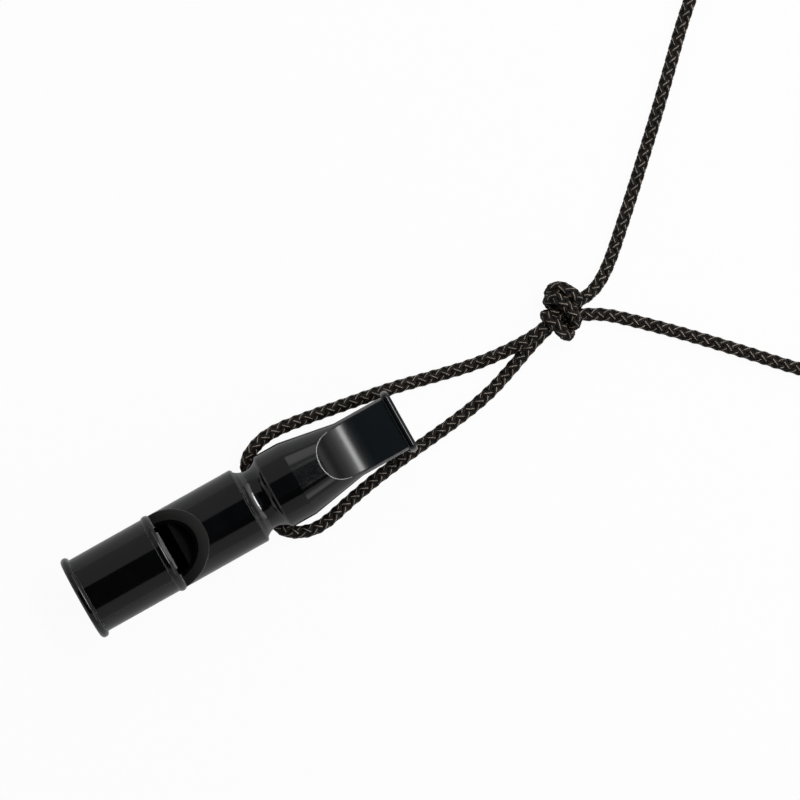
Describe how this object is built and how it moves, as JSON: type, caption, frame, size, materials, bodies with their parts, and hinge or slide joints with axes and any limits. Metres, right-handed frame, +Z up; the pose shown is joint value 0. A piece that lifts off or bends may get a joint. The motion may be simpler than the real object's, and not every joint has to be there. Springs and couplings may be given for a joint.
{
  "type": "whistle",
  "caption": "Pea-less tubular whistle with an open resonator, a slanted window and a scooped bite, on a knotted braided cord lanyard.",
  "frame": {"origin": "on the floor under the middle of the whistle's length, on its axis in plan", "axes": "+X along the whistle to the mouthpiece, +Z up through the window"},
  "size_m": [0.2383, 0.109, 0.0199],
  "materials": {
    "whistle_plastic": "polished black moulding",
    "block_plastic": "as moulded, black",
    "lanyard_cord": "round braid of charcoal yarn",
    "tie_band": "woven elastic band"
  },
  "bodies": {
    "whistle": {"resonator_tube": "whistle_plastic", "body_barrel": "whistle_plastic", "fipple_block": "block_plastic", "mouthpiece": "whistle_plastic"},
    "lanyard": {"lanyard_loop": "lanyard_cord", "lanyard_knot": "lanyard_cord", "neck_strand_a": "lanyard_cord", "neck_strand_b": "lanyard_cord", "neck_cord_coil": "lanyard_cord", "coil_tie": "tie_band"}
  },
  "joints": [
    {"name": "lanyard_swing", "type": "hinge", "parent": "whistle", "child": "lanyard", "pos_m": [0.00474, 0, 0.00565], "axis": [0, -1, 0], "range_deg": [0, 135]}
  ]
}
